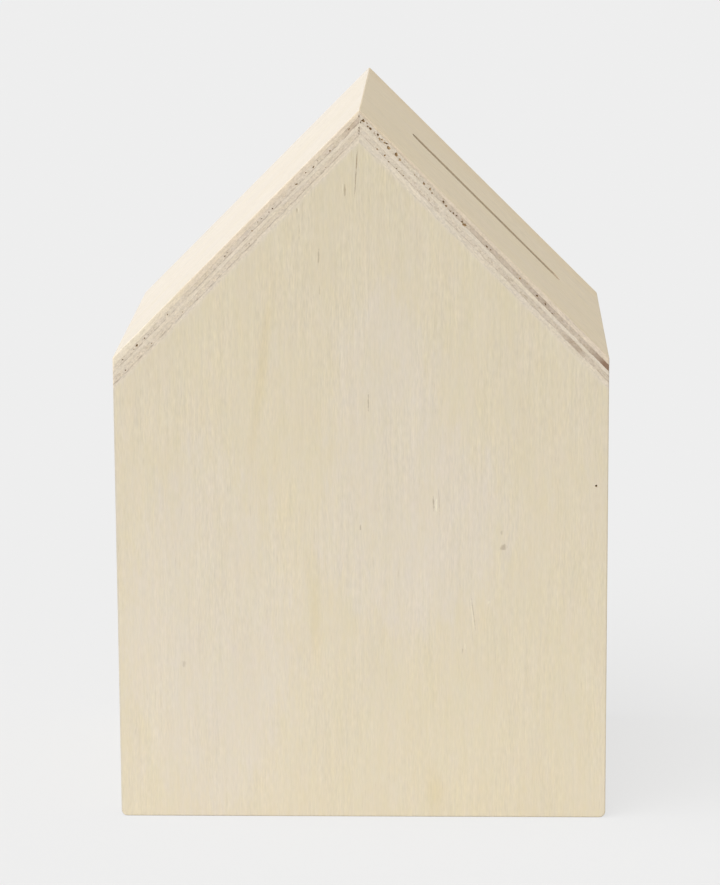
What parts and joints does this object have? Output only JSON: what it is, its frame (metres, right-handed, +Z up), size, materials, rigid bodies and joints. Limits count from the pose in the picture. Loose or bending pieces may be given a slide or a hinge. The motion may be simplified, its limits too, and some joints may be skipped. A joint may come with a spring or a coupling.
{
  "type": "wooden money box",
  "caption": "House-shaped plywood money box with a coin slot in one slope of its gable roof and a pull-out stopper under the raised base.",
  "frame": {"origin": "middle of the footprint, on the plane that the box stands on", "axes": "+Z up, front face towards -Y, +X to the right seen from the front"},
  "size_m": [0.12, 0.09, 0.1758],
  "materials": {
    "gable_ply": "sanded bare plywood, upright grain",
    "wall_ply": "sanded bare plywood, upright grain",
    "roof_ply": "sanded bare plywood, grain down the slope",
    "base_ply": "bare plywood",
    "stopper_rubber": "matt moulded rubber"
  },
  "bodies": {
    "box": {"front_panel": "gable_ply", "back_panel": "gable_ply", "left_wall": "wall_ply", "right_wall": "wall_ply", "left_roof_panel": "roof_ply", "right_roof_panel": "roof_ply", "base_panel": "base_ply"},
    "stopper": {"stopper": "stopper_rubber"}
  },
  "joints": [
    {"name": "stopper_pull", "type": "slide", "parent": "box", "child": "stopper", "axis": [0, 0, -1], "range_m": [0, 0.05]}
  ]
}
